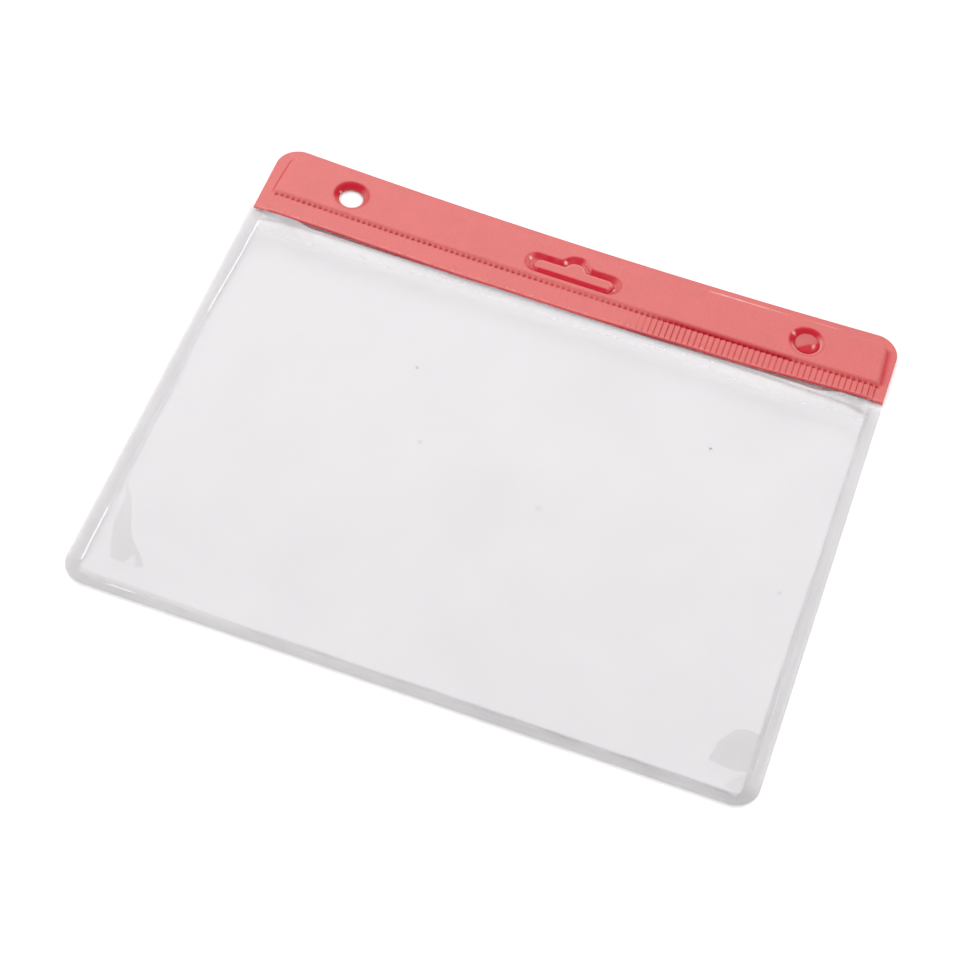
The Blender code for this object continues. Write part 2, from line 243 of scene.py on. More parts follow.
def film(name, outline, holes, lines, points, top, under, attributes, mat, edge=0.05):
    """A closed film: one triangulated sheet for its face and one for its back.

    outline and holes are its cut edges, lines are loops that its triangles
    follow, and points fill it in. top and under give z, and attributes give the
    masks that its material reads.
    """
    loops = [outline, *holes]
    rim = np.concatenate(loops)
    fixed = np.concatenate([rim, *lines]) if lines else rim
    # Drop the free points that crowd a loop's own points.
    cell = {}
    for i, (x, y) in enumerate(fixed):
        cell.setdefault((int(x // 0.5), int(y // 0.5)), []).append(i)
    near = np.ones(len(points), bool)
    keys = np.floor(points / 0.5).astype(int)
    crowd = edge * 1.6
    for i, (kx, ky) in enumerate(keys):
        for ax in (-1, 0, 1):
            for ay in (-1, 0, 1):
                for j in cell.get((kx + ax, ky + ay), ()):
                    d = points[i] - fixed[j]
                    if d[0] * d[0] + d[1] * d[1] < crowd * crowd:
                        near[i] = False
    points = points[near]
    coords = np.concatenate([fixed, points])
    edges, at = [], 0
    for loop in [*loops, *lines]:
        n = len(loop)
        edges += [(at + i, at + (i + 1) % n) for i in range(n)]
        at += n
    made = delaunay_2d_cdt(
        [Vector((float(x), float(y))) for x, y in coords], edges, [], 0, 1e-5
    )
    xy = np.array([(v.x, v.y) for v in made[0]])
    tris = np.array(made[2])
    centre = xy[tris].mean(axis=1)
    keep = inside_loop(centre[:, 0], centre[:, 1], outline)
    for hole in holes:
        keep &= ~inside_loop(centre[:, 0], centre[:, 1], hole)
    tris = tris[keep]
    used, index = np.unique(tris, return_inverse=True)
    tris = index.reshape(-1, 3)
    xy = xy[used]
    a, b, c = (xy[tris[:, k]] for k in range(3))
    turn = (b[:, 0] - a[:, 0]) * (c[:, 1] - a[:, 1]) - (b[:, 1] - a[:, 1]) * (
        c[:, 0] - a[:, 0]
    )
    tris[turn < 0] = tris[turn < 0][:, ::-1]
    n = len(xy)
    x, y = xy[:, 0], xy[:, 1]
    z_top, z_under = top(x, y), under(x, y)
    # Rim: edges used once, as the face runs them.
    sides = np.concatenate([tris[:, [0, 1]], tris[:, [1, 2]], tris[:, [2, 0]]])
    code = sides.min(1) * n + sides.max(1)
    _, first, count = np.unique(code, return_index=True, return_counts=True)
    border = sides[first[count == 1]]
    on_rim = np.zeros(n, bool)
    on_rim[border] = True
    middle = (z_top + z_under) / 2
    soft = np.where(on_rim, np.minimum(0.06, (z_top - z_under) * 0.2), 0)
    verts = np.concatenate(
        [
            np.stack([x, y + BOTTOM, z_top - soft], 1),
            np.stack([x, y + BOTTOM, z_under + soft], 1),
        ]
    )
    faces = [tuple(t) for t in tris.tolist()]
    faces += [(t[2] + n, t[1] + n, t[0] + n) for t in tris.tolist()]
    faces += [(i, i + n, j + n, j) for i, j in border.tolist()]
    mesh = bpy.data.meshes.new(name)
    mesh.from_pydata((verts / 1000).tolist(), [], faces)
    for key, value in attributes(x, y, z_top).items():
        upper, lower = value if isinstance(value, tuple) else (value, value)
        data = np.concatenate(
            [np.broadcast_to(upper, n), np.broadcast_to(lower, n)]
        ).astype(np.float32)
        mesh.attributes.new(key, "FLOAT", "POINT").data.foreach_set("value", data)
    mesh.materials.append(mat)
    mesh.shade_smooth()
    mesh.set_sharp_from_angle(angle=math.radians(50))
    mesh.update()
    obj = bpy.data.objects.new(name, mesh)
    bpy.context.scene.collection.objects.link(obj)
    return obj


# ------------------------------------------------------------------- materials
def nodes_of(name):
    mat = bpy.data.materials.new(name)
    mat.use_nodes = True
    tree = mat.node_tree
    tree.nodes.clear()
    return mat, tree


def node(tree, kind, **inputs):
    made = tree.nodes.new(kind)
    for key, value in inputs.items():
        if key.startswith("set_"):
            setattr(made, key[4:], value)
            continue
        target = made.inputs[int(key[1:])] if key[1:].isdigit() else None
        if target is None:
            target = made.inputs[key.replace("_", " ")]
        if isinstance(value, bpy.types.NodeSocket):
            tree.links.new(value, target)
        else:
            target.default_value = value
    return made


def mask(tree, name):
    return node(tree, "ShaderNodeAttribute", set_attribute_name=name).outputs["Fac"]


def math_node(tree, operation, a, b=0.0, clamp=False):
    return node(
        tree, "ShaderNodeMath", set_operation=operation, set_use_clamp=clamp, i0=a, i1=b
    ).outputs[0]


def noise(tree, scale, detail=2.0, rough=0.5, coordinate=None):
    at = coordinate or tree.nodes.new("ShaderNodeTexCoord").outputs["Object"]
    made = node(
        tree,
        "ShaderNodeTexNoise",
        Vector=at,
        Scale=scale,
        Detail=detail,
        Roughness=rough,
    )
    return made.outputs["Fac"]


def ramp(tree, value, low, high, to_low=0.0, to_high=1.0):
    return node(
        tree,
        "ShaderNodeMapRange",
        Value=value,
        i1=low,
        i2=high,
        i3=to_low,
        i4=to_high,
    ).outputs[0]


def mix_colour(tree, share, a, b):
    made = tree.nodes.new("ShaderNodeMix")
    made.data_type = "RGBA"
    for socket, value in ((0, share), (6, a), (7, b)):
        if isinstance(value, bpy.types.NodeSocket):
            tree.links.new(value, made.inputs[socket])
        else:
            made.inputs[socket].default_value = value
    return made.outputs[2]


def red_vinyl(name, face, shaded_red, roughness=0.42, grain=1.0):
    """Opaque soft vinyl: a fine leathery grain, mottling, painted shade as a deeper red in its pressed lines and
    recesses, painted shade towards its right end, and painted highlights where the mask glint is set.
    """
    mat, tree = nodes_of(name)
    groove = mask(tree, "groove")
    mottle = noise(tree, 260.0, 3.0, 0.6)
    fine = noise(tree, 2600.0, 2.0, 0.55)
    pores = node(
        tree,
        "ShaderNodeTexVoronoi",
        Vector=tree.nodes.new("ShaderNodeTexCoord").outputs["Object"],
        Scale=1500.0,
    ).outputs["Distance"]
    light = tuple(c * 1.045 for c in face[:3]) + (1.0,)
    dark = tuple(c * 0.955 for c in face[:3]) + (1.0,)
    ground = mix_colour(tree, ramp(tree, mottle, 0.3, 0.7), dark, light)
    ground = mix_colour(
        tree,
        math_node(tree, "MULTIPLY", ramp(tree, fine, 0.35, 0.75), 0.34),
        ground,
        (*[c * 0.86 for c in face[:3]], 1.0),
    )
    # Painted shade: the face grows darker and a deeper red towards its right end.
    across = node(
        tree,
        "ShaderNodeSeparateXYZ",
        Vector=tree.nodes.new("ShaderNodeTexCoord").outputs["Object"],
    ).outputs["X"]
    ground = mix_colour(
        tree,
        ramp(tree, across, -0.05, 0.05, 0.0, 0.19),
        ground,
        (face[0] * 0.75, face[1] * 0.12, face[2] * 0.12, 1.0),
    )
    # Painted shade: pressed lines, recesses and shaded edges turn deep red by their mask.
    colour = mix_colour(tree, groove, ground, (*shaded_red[:3], 1.0))
    # Painted highlights: a pale pink where the mask glint is set.
    colour = mix_colour(
        tree,
        math_node(tree, "MULTIPLY", mask(tree, "glint"), 0.8),
        colour,
        (1.0, 0.72, 0.66, 1.0),
    )
    height = math_node(
        tree, "ADD", math_node(tree, "MULTIPLY", pores, 0.6), fine
    )
    bump = node(
        tree,
        "ShaderNodeBump",
        Strength=0.9 * grain,
        Distance=0.00012,
        Height=height,
    ).outputs[0]
    rough = ramp(tree, groove, 0.0, 1.0, roughness, roughness * 0.62)
    rough = math_node(
        tree, "ADD", rough, math_node(tree, "MULTIPLY", ramp(tree, mottle, 0.3, 0.7), 0.07)
    )
    shader = node(
        tree,
        "ShaderNodeBsdfPrincipled",
        Base_Color=colour,
        Roughness=rough,
        Normal=bump,
    )
    shader.inputs["IOR"].default_value = 1.53
    # Light barely reaches the bottom of a pressed line, so its sheen is weaker.
    tree.links.new(
        ramp(tree, groove, 0.2, 1.0, 0.5, 0.08),
        shader.inputs["Specular IOR Level"],
    )
    node(tree, "ShaderNodeOutputMaterial", Surface=shader.outputs[0])
    return mat


def clear_vinyl(name, roughness):
    """Clear soft vinyl: see-through, with haze by the mask dens, whose grey is the mask tone, under a glossy skin. The
    masks dens and tone also carry painted shade and painted highlights.
    """
    mat, tree = nodes_of(name)
    dens = mask(tree, "dens")
    tone = mask(tree, "tone")
    cloud = noise(tree, 55.0, 3.0, 0.55)
    fine = noise(tree, 900.0, 2.0, 0.5)
    wavy = noise(tree, 130.0, 2.0, 0.5)
    share = math_node(
        tree, "MULTIPLY", dens, ramp(tree, cloud, 0.3, 0.7, 0.88, 1.12)
    )
    share = math_node(
        tree, "MULTIPLY", share, ramp(tree, fine, 0.3, 0.7, 0.965, 1.035), clamp=True
    )
    grey = node(
        tree,
        "ShaderNodeCombineColor",
        i0=tone,
        i1=math_node(tree, "MULTIPLY", tone, 0.975),
        i2=math_node(tree, "MULTIPLY", tone, 1.0),
    ).outputs[0]
    height = math_node(tree, "ADD", math_node(tree, "MULTIPLY", fine, 0.12), wavy)
    bump = node(
        tree, "ShaderNodeBump", Strength=0.03, Distance=0.00008, Height=height
    ).outputs[0]
    haze = node(
        tree,
        "ShaderNodeBsdfPrincipled",
        Base_Color=grey,
        Roughness=0.5,
        Normal=bump,
    )
    haze.inputs["Specular IOR Level"].default_value = 0.2
    through = node(
        tree, "ShaderNodeBsdfTransparent", Color=(0.975, 0.9705, 0.974, 1.0)
    )
    body = node(
        tree,
        "ShaderNodeMixShader",
        i0=share,
        i1=through.outputs[0],
        i2=haze.outputs[0],
    )
    skin = node(
        tree,
        "ShaderNodeBsdfGlossy",
        Color=(1, 1, 1, 1),
        Roughness=roughness,
        Normal=bump,
    )
    # The share of light reflected, the same from either side of the film
    facing = node(tree, "ShaderNodeLayerWeight", Blend=0.5, Normal=bump).outputs[
        "Facing"
    ]
    fresnel = math_node(
        tree,
        "ADD",
        math_node(
            tree, "MULTIPLY", math_node(tree, "POWER", facing, 5.0, clamp=True), 0.96
        ),
        0.04,
    )
    gloss = math_node(tree, "MULTIPLY", fresnel, mask(tree, "gloss"), clamp=True)
    shader = node(
        tree,
        "ShaderNodeMixShader",
        i0=gloss,
        i1=body.outputs[0],
        i2=skin.outputs[0],
    )
    node(tree, "ShaderNodeOutputMaterial", Surface=shader.outputs[0])
    return mat


CORAL = (0.593, 0.128, 0.121)
# The deep red that stands in for painted shade in pressed lines and recesses.
SHADE_RED = (0.48, 0.012, 0.028)
red_front = red_vinyl("strip_front_vinyl", CORAL, SHADE_RED)
red_back = red_vinyl("strip_back_vinyl", (0.60, 0.135, 0.128), (0.38, 0.010, 0.024))
# The slugs are the strip's own vinyl; their darker face colours, most of all the round one's, are painted shade.
red_slot = red_vinyl("slot_slug_vinyl", (0.575, 0.124, 0.116), SHADE_RED, 0.40, 0.8)
red_round = red_vinyl("round_slug_vinyl", (0.49, 0.085, 0.082), SHADE_RED, 0.30, 0.6)
clear_front = clear_vinyl("clear_front_vinyl", 0.16)
clear_back = clear_vinyl("clear_back_vinyl", 0.20)


# ---------------------------------------------------------------- header_front
def dash_y(x):
    return 86.42 + 0.62 * (x / 54.0) ** 2


def panel_distance(x, y):
    """Distance inside the puffed face's edge."""
    low = dash_y(x) + 0.12
    flat = y + dip(x) * step(88.0, 96.0, y)
    lean = 0.35 * step(88, 96, y)
    return -sd_rect(x - lean * step(0, -50, x) + lean * step(0, 50, x), flat, -54.6, 70.0, 55.25, HEIGHT - 1.5, 2.4), y - low


def strip_parts(x, y):
    side, above = panel_distance(x, y)
    inner = np.minimum(side, above)
    round_l = np.hypot(x - LEFT_X, y - LEFT_Y)
    round_r = np.hypot(x - ROUND_X, y - ROUND_Y)
    # The closed one's recess is a little wider to its left than its slug.
    round_r = round_r - 0.08 * step(2.3, 3.0, round_r) * (ROUND_X - x) / RING_R
    slot = sd_slot(x, y)
    return side, above, inner, round_l, round_r, slot


def dash_mask(x):
    """1 on a weld dash, 0 between two."""
    beat = 0.5 + 0.5 * np.cos(2 * math.pi * (x - DASH_X) / PITCH)
    ends = step(-54.6, -54.2, x) * step(55.5, 55.1, x)
    return step(0.22, 0.62, beat) * ends


def dash_depth(x):
    right = step(9, 16, x) * step(41.5, 39.0, x)
    under_slot = bell(x - 3.0, 7.0)
    fade = bell(x + 41.0, 2.6)
    left = 0.27 - 0.12 * under_slot - 0.11 * fade + 0.02 * np.sin(x * 0.9)
    return left * (1 - right) + 0.36 * right - 0.08 * bell(x - 42.5, 1.6)


def rib_mask(x):
    """Narrow valleys in line with the dashes, 1 in a valley and below 0 on the ridge beside it."""
    beat = np.cos(2 * math.pi * (x - DASH_X + 0.12) / PITCH)
    ends = step(-54.4, -54.0, x) * step(55.2, 54.9, x)
    return (step(0.72, 0.98, beat) - 0.45 * step(0.45, 0.72, beat) * step(0.9, 0.72, beat)) * ends


def rib_strength(x, y):
    """Full-length ribs on the right half, short stubs at both ends of them on the left."""
    down = dash_y(x) - y
    up = y - lip(x)
    span = step(0.05, 0.25, down) * step(0.10, 0.40, up)
    full = step(9.0, 20.0, x)
    stub = 0.45 * step(0.95, 0.45, down) + 0.30 * step(1.15, 0.6, up)
    return span * (full + (1 - full) * stub)


def strip_base(x, y):
    """The strip's face without its dashes and ribs."""
    side, above, inner, round_l, round_r, slot = strip_parts(x, y)
    band = step(0.0, 1.6, side) * step(0.9, -0.9, above)
    low = 0.93 + 0.36 * band
    # The band waves a little along its free edge, which is rolled over.
    out = y - lip(x)
    free = step(2.6, 0.0, out) * step(0.5, 3.0, side)
    low = low + free * (0.05 * wave(x, x * 0, 16, 8) - 0.03)
    low = low - 0.17 * step(0.34, -0.06, out) * step(0.2, 1.2, side)
    crown = clamp01(1 - ((y - 92.4) / 5.8) ** 2) * step(0, 6, side)
    high = FACE - 0.03 + 0.07 * crown + 0.03 * wave(x, y, 22, 2)
    # Creased beside the right end, pillowed elsewhere
    crease = step(46, 53, x) * step(97.2, 95.6, y)
    puff = step(-1.3 + 1.15 * crease, 2.0 - 1.3 * crease, side)
    puff = puff * step(-0.05, 0.62, above)
    z = low + (high - low) * puff
    up = step(86.6, 87.4, y) * step(96.2, 95.0, y)
    z = z - up * step(-40, -50, x) * 0.10 * bell(side + 0.05, 0.13)
    z = z - up * step(45, 52, x) * 0.16 * bell(side + 0.20, 0.34)
    # A soft ridge inside the top edge, strongest right of the middle
    ridge = step(20, 26, x) * step(38, 33, x) + 0.4 * step(39, 42, x) * step(47, 44, x)
    z = z + (0.015 + 0.09 * ridge) * bell(side + 0.12, 0.20) * step(94, 95.5, y)
    # Round recesses
    for r, floor, foot in ((round_l, 0.64, HOLE_R), (round_r, 0.94, ROUND_R)):
        wall = step(foot + 0.10, RING_R + 0.08, r)
        swell = 0.03 * bell(r - RING_R - 0.35, 0.35)
        z = np.where(r < RING_R + 1.4, floor + (z - floor) * wall**0.8 + swell, z)
    # Slot recess, between the slug's outline and a wider one
    out = sd_slot_rim(x, y)
    share = clamp01(slot / np.maximum(slot - out, 0.05))
    wall = step(0.12, 1.0, share) ** 0.9
    swell = 0.03 * bell(out - 0.35, 0.35)
    z = np.where(slot < 3.0, 0.98 + (z - 0.98) * wall + swell, z)
    return z


def strip_top(x, y):
    z = strip_base(x, y)
    ends = step(-54.6, -54.2, x) * step(55.5, 55.1, x)
    across = bell(y - dash_y(x), 0.24) * ends
    run = step(12, 20, x) * step(41, 39.2, x)
    z = z - across * (0.07 + 0.15 * run + dash_depth(x) * dash_mask(x))
    z = z - 0.13 * rib_mask(x) * rib_strength(x, y)
    return z + 0.006 * wave(x, y, 1.6, 12)


def strip_under(x, y):
    return np.minimum(strip_base(x, y) - 0.30, strip_top(x, y) - 0.07)


def strip_masks(x, y, z):
    side, above, inner, round_l, round_r, slot = strip_parts(x, y)
    ends = step(-54.6, -54.2, x) * step(55.5, 55.1, x)
    # Round recesses: painted shade, dark on the far wall, which faces away from the lamps, and light on the near one
    far_l = 0.30 + 0.70 * step(-0.3, 1.7, (y - LEFT_Y) - 0.75 * (x - LEFT_X))
    far_r = 0.24 + 0.76 * step(-0.2, 1.7, (y - ROUND_Y) - 0.75 * (x - ROUND_X))
    ring_l = step(RING_R + 0.10, RING_R - 0.30, round_l) * far_l
    ring_l = np.maximum(ring_l, 0.62 * bell(round_l - RING_R + 0.22, 0.26) * step(0.0, 1.4, x - LEFT_X))
    ring_r = step(RING_R + 0.10, RING_R - 0.30, round_r) * far_r
    # Slot recess: painted shade, dark along its far wall, light at its ends
    out = sd_slot_rim(x, y)
    inside = step(0.10, -0.28, out) * step(2.9, 2.6, slot)
    far = step(SLOT_Y + 0.6, SLOT_Y + 1.5, y)
    flank = step(-0.1, 1.1, x - 0.35 * (y - 92.5)) * step(2.6, 2.1, x) * step(91.0, 91.7, y)
    far = far * (1 - 0.88 * flank)
    far = np.maximum(far, 0.62 * flank * bell(slot - 0.45, 0.26))
    far = far * (0.93 + 0.12 * wave(x, y, 1.7, 15))
    far = far * step(8.6, 7.0, np.abs(x - SLOT_OUT_X))
    near = step(SLOT_Y - 0.9, SLOT_Y - 1.45, y)
    trench = inside * np.maximum.reduce([far, 0.85 * near, 0.20 + 0.14 * step(5.5, 7.5, np.abs(x - SLOT_OUT_X))])
    trench = np.maximum(trench, 0.62 * bell(out + 0.14, 0.17) * step(2.9, 2.6, slot) * (1 - 0.7 * flank))
    dash = bell(y - dash_y(x), 0.25) * ends * (
        0.08 + 0.14 * step(5, 20, x) + 0.78 * dash_mask(x) * clamp01(0.30 + 3.2 * dash_depth(x))
    )
    run = step(12, 20, x) * step(41, 39.2, x)
    thick = run * bell(y - dash_y(x) - 0.10, 0.40)
    thick = np.maximum(thick, step(14, 26, x) * 0.40 * bell(y - dash_y(x) - 0.30, 0.24) * ends)
    ribs = clamp01(rib_mask(x)) * rib_strength(x, y) * 0.62
    up = step(87.0, 88.0, y) * step(96.0, 95.0, y)
    weld = up * (
        step(-40, -50, x) * 0.85 * bell(side + 0.06, 0.13)
        + step(45, 52, x) * step(0.14, -0.10, side) * (0.06 + 0.74 * bell(side, 0.80))
    )
    edge = 0.85 * bell(y - lip(x) + 0.05, 0.26) * (0.6 + 0.4 * step(56, 46, np.abs(x)))
    cap = 0.30 * step(0.30, 0.0, HEIGHT - dip(x) - y) * step(-50, -30, x) * step(52, 44, x)
    # All of these are painted shade: the recesses, the weld dashes and the dark run beneath the puffed face, the rib
    # valleys, the side weld lines, the lip's cut edge and a thin band along the top edge.
    groove = np.maximum.reduce(
        [ring_l, ring_r, trench, dash, thick, ribs, weld, edge, cap]
    )
    # Small glints where the pressed walls turn
    glint = np.zeros_like(x)
    for gx, gy, size in (
        (-8.25, 90.55, 0.21),
        (-2.25, 91.95, 0.26),
        (7.15, 89.5, 0.2),
        (-43.75, 92.1, 0.17),
        (38.75, 92.5, 0.24),
    ):
        glint = np.maximum(glint, np.exp(-((x - gx) ** 2 + (y - gy) ** 2) / size**2))
    # Painted highlight along the soft ridge inside the top edge
    ridge = step(20, 26, x) * step(38, 33, x) + 0.35 * step(39, 42, x) * step(47, 44, x)
    ridge = ridge * bell(side + 0.08, 0.11) * step(94, 95.5, y)
    glint = np.maximum(glint, 0.80 * ridge * (0.75 + 0.4 * wave(x, x * 0, 3, 13)))
    # A painted highlight: a paler ring round the closed one's slug, on its lower side
    pale = bell(round_r - ROUND_R - 0.36, 0.17) * step(0.9, -0.6, (y - ROUND_Y) - 0.6 * (x - ROUND_X))
    glint = np.maximum(glint, 0.36 * pale)
    # The rolled free edge catches a thin broken light above its cut
    glint = np.maximum(glint, 0.16 * bell(y - lip(x) - 0.42, 0.12) * (0.6 + 0.5 * wave(x, x * 0, 2.3, 16)))
    # Flecks of light along the free edge and below the dashes
    fleck = step(0.75, 1.25, wave(x * 1.3, y * 1.3, 0.9, 14))
    where = bell(y - lip(x) - 0.55, 0.30) + 0.5 * bell(y - dash_y(x) + 0.6, 0.3)
    glint = np.maximum(glint, 0.30 * fleck * where * step(57, 55, np.abs(x)))
    return {"groove": (clamp01(groove), 0.25), "glint": (clamp01(glint), 0.0)}


def make_header_front():
    upper = rounded(STRIP_LEFT, 60.0, STRIP_RIGHT, HEIGHT, CORNER, 0.3, bowed=True)
    upper = upper[upper[:, 1] > 84.6]
    bx = np.linspace(STRIP_LEFT, STRIP_RIGHT, 460)
    bottom = np.stack([bx, lip(bx)], 1)
    outline = np.concatenate([bottom, upper])
    holes = [
        ring(LEFT_X, LEFT_Y, HOLE_R, 84),
        ring(ROUND_X, ROUND_Y, ROUND_R + 0.006, 84),
        slot_loop(0.006),
    ]
    lines = []
    for cx, cy in ((LEFT_X, LEFT_Y), (ROUND_X - 0.08, ROUND_Y)):
        for r in (2.55, 2.8, 3.05, 3.3, 3.55, 3.8):
            lines.append(ring(cx, cy, r, 96))
    points = [
        grid(-HALF_W + 0.1, HALF_W - 0.1, 81.70, 87.65, 0.1275, 0.17),
        grid(-HALF_W + 0.15, HALF_W - 0.15, 87.85, HEIGHT - 0.15, 0.34, 0.30),
        grid(-HALF_W + 0.1, -53.6, 87.7, HEIGHT - 0.1, 0.14, 0.3),
        grid(53.6, HALF_W - 0.1, 87.7, HEIGHT - 0.1, 0.14, 0.3),
        grid(-HALF_W + 0.1, HALF_W - 0.1, 94.6, HEIGHT - 0.1, 0.34, 0.15),
    ]
    fine = grid(SLOT_X - 9.8, SLOT_X + 9.8, 87.3, 95.2, 0.12, 0.12)
    fine = fine[sd_slot_rim(fine[:, 0], fine[:, 1]) < 0.5]
    points = np.concatenate([*points, fine])
    # One point to a cell where the grids overlap, none inside a ring's own loops.
    cells = np.round(points / 0.09).astype(int)
    _, first = np.unique(cells, axis=0, return_index=True)
    points = points[np.sort(first)]
    for cx, cy in ((LEFT_X, LEFT_Y), (ROUND_X - 0.08, ROUND_Y)):
        points = points[np.hypot(points[:, 0] - cx, points[:, 1] - cy) > 3.92]
    in_corner = sd_rect(
        points[:, 0],
        points[:, 1] + dip(points[:, 0]),
        STRIP_LEFT,
        60,
        STRIP_RIGHT,
        HEIGHT,
        CORNER,
    )
    keep = (in_corner < -0.08) & (points[:, 1] > lip(points[:, 0]) + 0.08)
    keep &= sd_slot(points[:, 0], points[:, 1]) > 0.12
    points = points[keep]
    return film(
        "strip_front_film",
        outline,
        holes,
        lines,
        points,
        strip_top,
        strip_under,
        strip_masks,
        red_front,
    )


# ----------------------------------------------------------------- header_back
def make_header_back():
    upper = rounded(STRIP_LEFT, 60.0, STRIP_RIGHT, HEIGHT, CORNER, 0.5, bowed=True)
    upper = upper[upper[:, 1] > 84.9]
    bx = np.linspace(STRIP_LEFT, STRIP_RIGHT, 230)
    outline = np.concatenate([np.stack([bx, back_lip(bx)], 1), upper])
    holes = [
        ring(LEFT_X, LEFT_Y, HOLE_R + 0.12, 84),
        ring(ROUND_X, ROUND_Y, ROUND_R + 0.05, 84),
        slot_loop(0.05),
    ]
    points = grid(-HALF_W + 0.3, HALF_W - 0.3, 82.5, HEIGHT - 0.3, 0.6, 0.5)
    x, y = points[:, 0], points[:, 1]
    keep = sd_rect(x, y + dip(x), STRIP_LEFT, 60, STRIP_RIGHT, HEIGHT, CORNER) < -0.2
    keep &= y > back_lip(x) + 0.2
    keep &= sd_slot(x, y) > 0.3
    keep &= np.hypot(np.abs(x) - ROUND_X, y - ROUND_Y) > RING_R * 0.82
    points = points[keep]

    def rim(x, y):
        flat = y + dip(x)
        return -sd_rect(x, flat, -HALF_W, 70.0, HALF_W, HEIGHT, CORNER)

    def top(x, y):
        welded = step(1.5, 0.9, rim(x, y)) * step(84.0, 85.0, y)
        near = np.minimum(
            np.hypot(np.abs(x) - ROUND_X, y - ROUND_Y) - HOLE_R, sd_slot(x, y)
        )
        welded = np.maximum(welded, step(0.9, 0.4, near) * 0.5)
        return 0.30 + 0.27 * welded

    def under(x, y):
        return np.zeros_like(x) + 0.004 * (1 + wave(x, y, 9, 4))

    def masks(x, y, z):
        near = np.minimum(
            np.hypot(np.abs(x) - ROUND_X, y - ROUND_Y) - HOLE_R, sd_slot(x, y)
        )
        # Painted shade: a dark line along the lower edge and round the holes, with under-side lines; a painted
        # highlight (glint) in the band just above the lower edge.
        edge = 0.8 * bell(y - back_lip(x), 0.14)
        pale = step(0.12, 0.30, y - back_lip(x)) * step(1.6, 1.2, y - back_lip(x))
        line = 0.35 * bell(y - dash_y(x), 0.25) * (0.5 + 0.5 * dash_mask(x))
        around = 0.55 * step(0.9, 0.2, near)
        under_side = np.maximum.reduce([line, around, 0.3 * step(1.7, 1.2, rim(x, y)) * step(0.9, 1.4, rim(x, y))])
        return {"groove": (np.maximum(edge, around), under_side), "glint": (0.70 * pale, 0.0)}

    return film(
        "strip_back_film", outline, holes, [], points, top, under, masks, red_back
    )


# ----------------------------------------------------------------- front_panel
def window_distance(x, y):
    """Distance inside the window's edge, and below the mouth."""
    left = -PANEL_HALF + 2.42 - 0.50 * bell(y - 55, 12) - 0.15 * bell(y - 30, 9)
    left = left + 0.05 * wave(y, y * 0, 15, 21) + 0.04 * wave(y, y * 0, 5, 22)
    right = PANEL_HALF - 2.1 + 0.35 * step(25, 60, y)
    right = right + 0.07 * wave(y, y * 0, 13, 31) + 0.05 * wave(y, y * 0, 4.5, 32)
    low = 1.40 + 0.22 * step(-20, -50, x) + 0.05 * wave(x, x * 0, 13, 41) + 0.03 * wave(x, x * 0, 3, 42)
    high = mouth_line(x)
    # Two straight sides, and a rounded corner at each end of the bottom.
    r = 1.5
    a, b, c = x - left, right - x, y - low
    ab = np.minimum(a, b)
    corner = r - np.hypot(np.maximum(r - ab, 0), np.maximum(r - c, 0))
    edge = np.where((ab < r) & (c < r), corner, np.minimum(ab, c))
    return edge, high - y


def mouth_line(x):
    """y where the window's rise ends, below the strip's lip."""
    ends = step(24, 55, np.abs(x))
    corner = 0.8 * step(50.5, 55.5, np.abs(x))
    return 81.35 - 0.55 * ends - corner + 0.10 * wave(x, x * 0, 12, 51)


def front_top(x, y):
    edge, below = window_distance(x, y)
    weld = 0.90 + 0.004 * wave(x, y, 4.0, 60)
    rise = step(-0.03, 0.46 + 0.35 * step(-20, -50, x) * step(3, 6, y), edge)
    sag = 0.035 * wave(x, y, 60, 61) + 0.02 * wave(x, y, 27, 62)
    high = FACE - 0.05 + sag
    # Down to the strip's lip, where the film is tucked under it.
    tuck = step(-0.95, 0.35, below)
    low = 0.97 + step(36, 46, np.abs(x)) * 0.035 * wave(x, y, 2.6, 63)
    high = low + (high - low) * tuck
    z = weld + (high - weld) * rise
    # The bead that the weld squeezes out along its inner edge
    z = z + 0.05 * bell(edge + 0.10, 0.16) * step(-1.0, 1.0, below)
    # A faint pressed line just inside the outer rim
    rim = -sd_rect(x, y, -CLEAR_HALF, 0.0, CLEAR_HALF, HEIGHT, CORNER)
    return z - 0.03 * bell(rim - 0.75, 0.18) + 0.02 * bell(rim - 0.40, 0.15)


def front_under(x, y):
    edge, below = window_distance(x, y)
    z = front_top(x, y) - 0.30
    return np.maximum(z, 0.59)


def patch(x, y, corners, soft=0.18):
    """1 inside a many-cornered blot, soft across its edge."""
    corners = np.array(corners)
    inside = inside_loop(x, y, corners)
    near = np.full(x.shape, 9.0)
    for a, b in zip(corners, np.roll(corners, -1, axis=0)):
        run = b - a
        t = clamp01(((x - a[0]) * run[0] + (y - a[1]) * run[1]) / (run @ run))
        near = np.minimum(near, np.hypot(x - a[0] - t * run[0], y - a[1] - t * run[1]))
    return step(-soft, soft, np.where(inside, near, -near))


